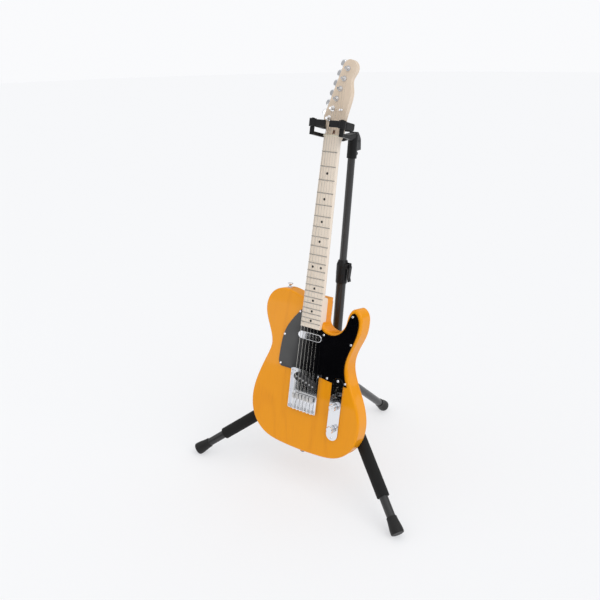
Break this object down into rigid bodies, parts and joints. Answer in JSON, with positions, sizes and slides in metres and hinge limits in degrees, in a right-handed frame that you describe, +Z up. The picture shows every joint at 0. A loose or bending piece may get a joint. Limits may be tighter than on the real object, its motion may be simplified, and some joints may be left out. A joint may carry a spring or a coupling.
{
  "type": "guitar on stand",
  "caption": "Solid-body electric guitar with single cutaway hanging by its headstock in a folding tripod stand with self-closing neck yoke and foam-sleeved legs.",
  "frame": {"origin": "on the floor, under the middle of the footprint's box", "axes": "+Z up; the guitar's face looks towards -Y; +X is the treble side"},
  "size_m": [0.6572, 0.5258, 1.0518],
  "materials": {
    "amber_lacquer": "gloss amber lacquer",
    "maple": "gloss clear lacquer",
    "walnut": "gloss clear lacquer",
    "nickel_silver": "polished",
    "black_dots": "gloss",
    "bone": "satin",
    "chrome": "mirror",
    "steel": "satin",
    "guard_black": "gloss",
    "bobbin_black": "satin",
    "magnet": "ground",
    "saddle_steel": "satin",
    "control_gear": "satin",
    "tip_black": "gloss",
    "string_steel": "bright",
    "stand_black": "satin powder coat",
    "mast_grey": "satin",
    "stand_plastic": "satin",
    "cover_grey": "satin",
    "foot_rubber": "matte",
    "foam": "matte foam",
    "pad_rubber": "matte"
  },
  "bodies": {
    "base": {"leg_hub": "stand_plastic", "hub_pins": "steel", "mast_lower": "stand_black", "clutch_body": "stand_plastic"},
    "leg_left": {"leg_left": "stand_black", "foot_left": "foot_rubber", "foam_left": "foam"},
    "leg_right": {"leg_right": "stand_black", "foot_right": "foot_rubber", "foam_right": "foam"},
    "leg_rear": {"leg_rear": "stand_black", "foot_rear": "foot_rubber"},
    "clutch_lever": {"clutch_lever": "stand_plastic"},
    "mast_top": {"mast_upper": "mast_grey", "yoke_head": "stand_plastic", "head_cover": "cover_grey"},
    "cradle": {"yoke_cradle": "pad_rubber"},
    "gate_left": {"gate_left": "pad_rubber"},
    "gate_right": {"gate_right": "pad_rubber"},
    "guitar": {"bridge_pickup": "bobbin_black", "bridge_plate": "chrome", "bridge_saddles": "saddle_steel", "control_plate": "chrome", "control_pots": "control_gear", "face_screws": "chrome", "fret_markers": "black_dots", "frets": "nickel_silver", "guitar_body": "amber_lacquer", "jack_plate": "chrome", "jack_socket": "chrome", "neck": "maple", "neck_pickup": "chrome", "neck_plate": "chrome", "neck_screws": "chrome", "neck_walnut": "walnut", "nut": "bone", "pickguard": "guard_black", "pickup_poles": "magnet", "saddle_screws": "chrome", "strap_buttons": "chrome", "string_tree": "chrome", "strings": "string_steel", "switch_body": "control_gear", "truss_rod": "steel", "tuner_housings": "chrome"},
    "volume_knob": {"volume_knob": "chrome"},
    "tone_knob": {"tone_knob": "chrome"},
    "switch_lever": {"switch_lever": "tip_black"},
    "tuner_post_1": {"tuner_post_1": "chrome"},
    "tuner_button_1": {"tuner_button_1": "chrome"},
    "tuner_post_2": {"tuner_post_2": "chrome"},
    "tuner_button_2": {"tuner_button_2": "chrome"},
    "tuner_post_3": {"tuner_post_3": "chrome"},
    "tuner_button_3": {"tuner_button_3": "chrome"},
    "tuner_post_4": {"tuner_post_4": "chrome"},
    "tuner_button_4": {"tuner_button_4": "chrome"},
    "tuner_post_5": {"tuner_post_5": "chrome"},
    "tuner_button_5": {"tuner_button_5": "chrome"},
    "tuner_post_6": {"tuner_post_6": "chrome"},
    "tuner_button_6": {"tuner_button_6": "chrome"}
  },
  "joints": [
    {"name": "leg_left_fold", "type": "hinge", "parent": "base", "child": "leg_left", "pos_m": [-0.0297, -0.05473, 0.23538], "axis": [0.4867, -0.8645, 0.1252], "range_deg": [0, 48]},
    {"name": "leg_right_fold", "type": "hinge", "parent": "base", "child": "leg_right", "pos_m": [0.0297, -0.05473, 0.23538], "axis": [0.4867, 0.8645, -0.1252], "range_deg": [0, 48]},
    {"name": "leg_rear_fold", "type": "hinge", "parent": "base", "child": "leg_rear", "pos_m": [0, -0.00412, 0.23214], "axis": [-1, 0, 0], "range_deg": [0, 52]},
    {"name": "clutch_lever_press", "type": "hinge", "parent": "base", "child": "clutch_lever", "pos_m": [0.0175, 0.00719, 0.54749], "axis": [0, 0.9897, -0.1433], "range_deg": [0, 6], "stiffness_Nm_per_rad": 0.5, "springref_deg": -17.19},
    {"name": "mast_height", "type": "slide", "parent": "base", "child": "mast_top", "axis": [0, 0.1433, 0.9897], "range_m": [0, 0.15]},
    {"name": "cradle_drop", "type": "slide", "parent": "mast_top", "child": "cradle", "axis": [0, 0.2112, 0.9775], "range_m": [0, 0.008], "stiffness_N_per_m": 400, "springref_m": 0.02},
    {"name": "gate_left_turn", "type": "hinge", "parent": "mast_top", "child": "gate_left", "pos_m": [-0.041, -0.06278, 0.91326], "axis": [0, -0.2112, -0.9775], "range_deg": [0, 35]},
    {"name": "gate_right_turn", "type": "hinge", "parent": "mast_top", "child": "gate_right", "pos_m": [0.041, -0.06278, 0.91326], "axis": [0, 0.2112, 0.9775], "range_deg": [0, 35]},
    {"name": "guitar_lift", "type": "slide", "parent": "cradle", "child": "guitar", "axis": [0, 0.2112, 0.9775], "range_m": [0, 0.03]},
    {"name": "tuner_1_button", "type": "hinge", "parent": "guitar", "child": "tuner_button_1", "pos_m": [-0.03497, -0.0061, 0.92697], "axis": [-0.9511, 0.0653, 0.302], "continuous": true},
    {"name": "tuner_1_post", "type": "hinge", "parent": "guitar", "child": "tuner_post_1", "pos_m": [-0.0178, -0.02768, 0.91946], "axis": [0, -0.9775, 0.2112], "continuous": true},
    {"name": "tuner_2_button", "type": "hinge", "parent": "guitar", "child": "tuner_button_2", "pos_m": [-0.02752, -0.00127, 0.94937], "axis": [-0.9511, 0.0653, 0.302], "continuous": true},
    {"name": "tuner_2_post", "type": "hinge", "parent": "guitar", "child": "tuner_post_2", "pos_m": [-0.01035, -0.02284, 0.94187], "axis": [0, -0.9775, 0.2112], "continuous": true},
    {"name": "tuner_3_button", "type": "hinge", "parent": "guitar", "child": "tuner_button_3", "pos_m": [-0.02007, 0.00358, 0.97177], "axis": [-0.9511, 0.0653, 0.302], "continuous": true},
    {"name": "tuner_3_post", "type": "hinge", "parent": "guitar", "child": "tuner_post_3", "pos_m": [-0.00291, -0.018, 0.96427], "axis": [0, -0.9775, 0.2112], "continuous": true},
    {"name": "tuner_4_button", "type": "hinge", "parent": "guitar", "child": "tuner_button_4", "pos_m": [-0.01263, 0.00842, 0.99418], "axis": [-0.9511, 0.0653, 0.302], "continuous": true},
    {"name": "tuner_4_post", "type": "hinge", "parent": "guitar", "child": "tuner_post_4", "pos_m": [0.00454, -0.01316, 0.98668], "axis": [0, -0.9775, 0.2112], "continuous": true},
    {"name": "tuner_5_button", "type": "hinge", "parent": "guitar", "child": "tuner_button_5", "pos_m": [-0.00518, 0.01325, 1.01658], "axis": [-0.9511, 0.0653, 0.302], "continuous": true},
    {"name": "tuner_5_post", "type": "hinge", "parent": "guitar", "child": "tuner_post_5", "pos_m": [0.01199, -0.00832, 1.00908], "axis": [0, -0.9775, 0.2112], "continuous": true},
    {"name": "tuner_6_button", "type": "hinge", "parent": "guitar", "child": "tuner_button_6", "pos_m": [0.00227, 0.01809, 1.03898], "axis": [-0.9511, 0.0653, 0.302], "continuous": true},
    {"name": "tuner_6_post", "type": "hinge", "parent": "guitar", "child": "tuner_post_6", "pos_m": [0.01944, -0.00348, 1.03148], "axis": [0, -0.9775, 0.2112], "continuous": true},
    {"name": "volume_turn", "type": "hinge", "parent": "guitar", "child": "volume_knob", "pos_m": [0.095, -0.17826, 0.24608], "axis": [0, -0.9775, 0.2112], "range_deg": [-270, 0]},
    {"name": "tone_turn", "type": "hinge", "parent": "guitar", "child": "tone_knob", "pos_m": [0.095, -0.19051, 0.18939], "axis": [0, -0.9775, 0.2112], "range_deg": [-270, 0]},
    {"name": "pickup_switch", "type": "hinge", "parent": "guitar", "child": "switch_lever", "pos_m": [0.095, -0.15481, 0.27887], "axis": [-1, 0, 0], "range_deg": [0, 28]}
  ],
  "couplings": [
    {"joint": "gate_left_turn", "follows": "cradle_drop", "rad_per_m": 76},
    {"joint": "gate_right_turn", "follows": "cradle_drop", "rad_per_m": 76},
    {"joint": "tuner_1_post", "follows": "tuner_1_button", "ratio": 0.071429},
    {"joint": "tuner_2_post", "follows": "tuner_2_button", "ratio": 0.071429},
    {"joint": "tuner_3_post", "follows": "tuner_3_button", "ratio": 0.071429},
    {"joint": "tuner_4_post", "follows": "tuner_4_button", "ratio": 0.071429},
    {"joint": "tuner_5_post", "follows": "tuner_5_button", "ratio": 0.071429},
    {"joint": "tuner_6_post", "follows": "tuner_6_button", "ratio": 0.071429}
  ]
}
